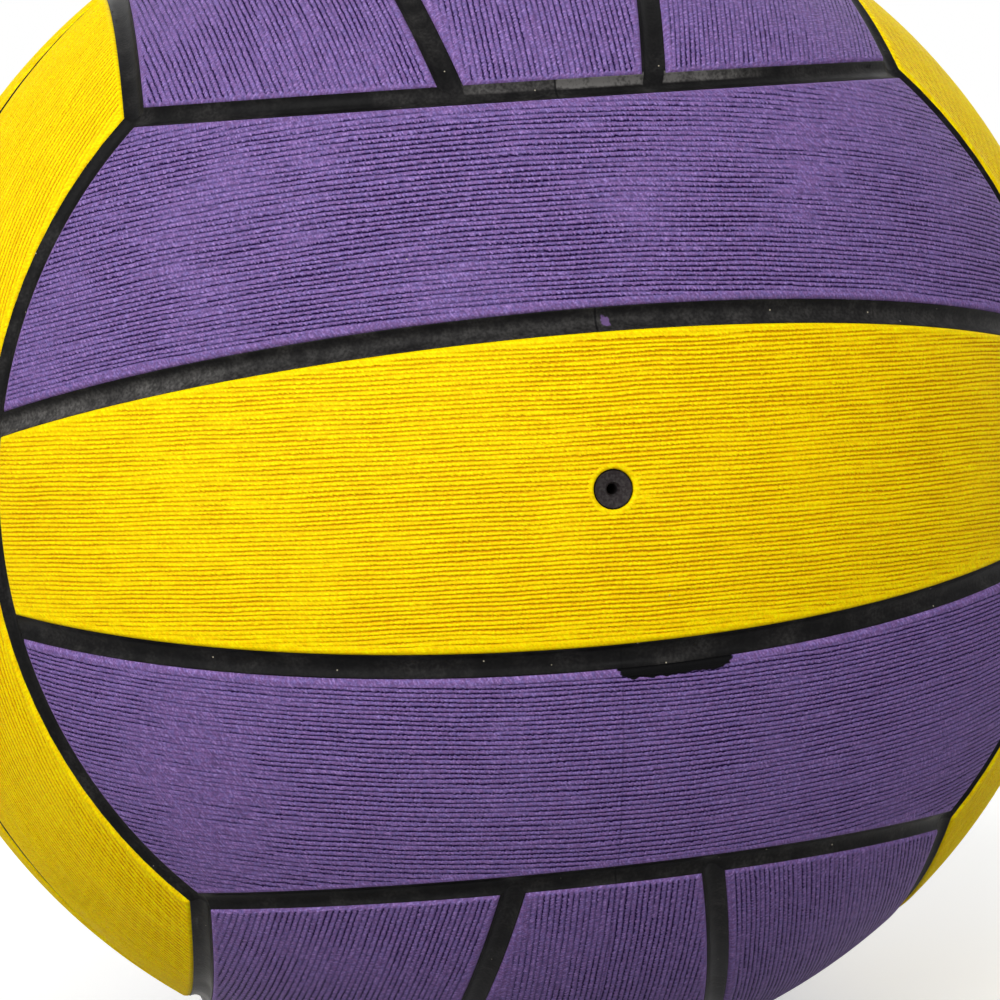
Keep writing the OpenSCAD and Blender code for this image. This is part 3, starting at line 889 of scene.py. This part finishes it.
def seen_ray(tree):
    """1 for what the camera sees, straight or in a reflection, and 0 for what lights the object."""
    rays = add(tree, "ShaderNodeLightPath")
    seen = rays["Is Camera Ray"]
    for name in ("Is Glossy Ray", "Is Transmission Ray"):
        seen = Nodes(tree).math("MAXIMUM", seen, rays[name])
    return seen


def floor_paper(name):
    """Matt paper of the floor: pale round the ball and white far from it."""

    def build(tree):
        nodes = Nodes(tree)
        seen = seen_ray(tree)
        place = add(tree, "ShaderNodeTexCoord")["Object"]
        glow = nodes.ramp(nodes.vector("LENGTH", place, output=1), *GLOW_DISTANCES, *GLOW)
        shade = nodes.blend(seen, linear(FLOOR_BOUNCE), linear(FLOOR_SEEN))
        return {"Base Color": shade, "Roughness": 0.9, "Emission Color": (1.0, 1.0, 1.0, 1.0),
                "Emission Strength": nodes.product(seen, glow)}

    return surface(name, build)


def finish_node(node, material):
    """Gives a CAD node's object its material."""
    slots = frame["nodes"][node].data.materials
    slots.clear()
    slots.append(material)


class BALL_OT_panels(bpy.types.Operator):
    """Makes the eighteen grooved cover panels"""
    bl_idname = "ball.panels"
    bl_label = "Cover panels"

    def execute(self, context):
        scene = context.scene
        pattern, grooves, colours = scene.ball_pattern, scene.ball_grooves, scene.ball_colours
        rubber = {}
        for hue, mottle in MOTTLE.items():
            shades = (getattr(colours, hue + part) for part in ("", "_cast", "_crest", "_groove"))
            rubber[f"{hue}_rubber"] = grip_rubber(
                f"{hue}_grip_rubber_moulded", *shades, colours.speck, colours.black, mottle)
        slots = {part["node"]: part["material_slot"] for part in frame["record"]["subparts"]}
        tree = groove_tree()
        values = {"Pitch": grooves.pitch, "Depth": grooves.depth, "Lip": grooves.lip,
                  "First groove": 0.0, "Seed": SEED}
        for face, (_, _, side) in FACES.items():
            values["Wander"] = grooves.wander * (CALM_STRAY if face in CALM_FACES else 1.0)
            for strip, place in enumerate(STRIP_NAMES[side], -1):
                node = f"{face}_{place}_panel"
                values["First groove"] += NEXT_PANEL
                blank = panel_blank(node + "_grip", pattern, grooves, face, strip)
                values["Rubber"] = rubber[slots[node]]
                piece = shaped(node + "_grip", blank, tree, values)
                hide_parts(node)
                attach(piece, "root")
        return {"FINISHED"}


class BALL_OT_layers(bpy.types.Operator):
    """Finishes the carcass with its channels, and the layers under it"""
    bl_idname = "ball.layers"
    bl_label = "Carcass and layers"

    def execute(self, context):
        colours = context.scene.ball_colours
        finish_node("carcass", channel_rubber(
            "black_rubber_moulded", colours.black, colours.dust_and_sheen, colours.speck, colours.purple))
        finish_node("winding", wound_nylon("nylon_thread_wound", colours.nylon))
        finish_node("bladder", dipped_butyl("butyl_rubber_dipped", colours.butyl))
        return {"FINISHED"}


class BALL_OT_valve(bpy.types.Operator):
    """Finishes the needle valve"""
    bl_idname = "ball.valve"
    bl_label = "Needle valve"

    def execute(self, context):
        colours = context.scene.ball_colours
        rubber = valve_rubber("valve_rubber_moulded", colours.valve, colours.dust_and_sheen)
        for node in ("valve_core", "valve_housing"):
            finish_node(node, rubber)
        return {"FINISHED"}


class BALL_OT_stage(bpy.types.Operator):
    """Makes the floor, the lamps and the camera"""
    bl_idname = "ball.stage"
    bl_label = "Stage"

    def execute(self, context):
        scene, sizes = context.scene, context.scene.ball_stage
        half = sizes.floor / 2
        down = CAD_BOX[0][2]
        mesh = bpy.data.meshes.new("floor")
        mesh.from_pydata([(-half, -half, down), (half, -half, down), (half, half, down),
                          (-half, half, down)], [], [(0, 1, 2, 3)])
        floor = bpy.data.objects.new("floor", mesh)
        scene.collection.objects.link(floor)
        mesh.materials.append(floor_paper("floor_paper_matt"))

        world = bpy.data.worlds.new("studio")
        world.use_nodes = True
        tree = world.node_tree
        tree.nodes.clear()
        strength = add(tree, "ShaderNodeMix", {0: seen_ray(tree), 2: sizes.sky, 3: 1.0})[0]
        light = add(tree, "ShaderNodeBackground",
                    {"Color": (1.0, 1.0, 1.0, 1.0), "Strength": strength})[0]
        add(tree, "ShaderNodeOutputWorld", {"Surface": light})
        scene.world = world

        for name, (size, place) in LAMPS.items():
            self.lamp(name, getattr(sizes, name), size, place)

        camera = bpy.data.cameras.new("camera")
        camera.lens, camera.sensor_width = sizes.lens, SENSOR
        viewer = bpy.data.objects.new("camera", camera)
        viewer.location = CAMERA_AT
        viewer.rotation_euler = [math.radians(turn) for turn in CAMERA_TURN]
        scene.collection.objects.link(viewer)
        scene.camera = viewer
        scene.view_settings.view_transform = "Standard"
        return {"FINISHED"}

    @staticmethod
    def lamp(name, power, size, place):
        """Adds a soft lamp, of a width and height, that looks at the ball's centre."""
        data = bpy.data.lights.new(name, "AREA")
        data.shape = "RECTANGLE"
        data.energy, data.size, data.size_y = power, *size
        lamp = bpy.data.objects.new(name, data)
        lamp.location = place
        lamp.rotation_euler = (-lamp.location).to_track_quat("-Z", "Y").to_euler()
        lamp.visible_camera = False
        bpy.context.scene.collection.objects.link(lamp)


class BALL_PT_sidebar(bpy.types.Panel):
    """Lists the ball's sizes, colours and build steps"""
    bl_label = "Water polo ball"
    bl_space_type = "VIEW_3D"
    bl_region_type = "UI"
    bl_category = "Ball"

    def draw(self, context):
        for group, steps in GROUPS.items():
            box = self.layout.box()
            settings = getattr(context.scene, group)
            for name in settings.__annotations__:
                box.prop(settings, name)
            for step in steps:
                box.operator(step)


GROUPS = {
    "ball_pattern": (),
    "ball_grooves": ("ball.panels",),
    "ball_colours": ("ball.layers", "ball.valve"),
    "ball_stage": ("ball.stage",),
}
SETTINGS = {
    "ball_pattern": BallPattern,
    "ball_grooves": GripGrooves,
    "ball_colours": BallColours,
    "ball_stage": StageSizes,
}
CLASSES = (*SETTINGS.values(), BALL_OT_panels, BALL_OT_layers, BALL_OT_valve, BALL_OT_stage,
           BALL_PT_sidebar)


def register():
    for item in CLASSES:
        bpy.utils.register_class(item)
    for name, group in SETTINGS.items():
        setattr(bpy.types.Scene, name, bpy.props.PointerProperty(type=group))


def unregister():
    for name in SETTINGS:
        delattr(bpy.types.Scene, name)
    for item in reversed(CLASSES):
        bpy.utils.unregister_class(item)


def main():
    register()
    bpy.ops.ball.panels()
    bpy.ops.ball.layers()
    bpy.ops.ball.valve()
    bpy.ops.ball.stage()


if __name__ == "__main__":
    main()
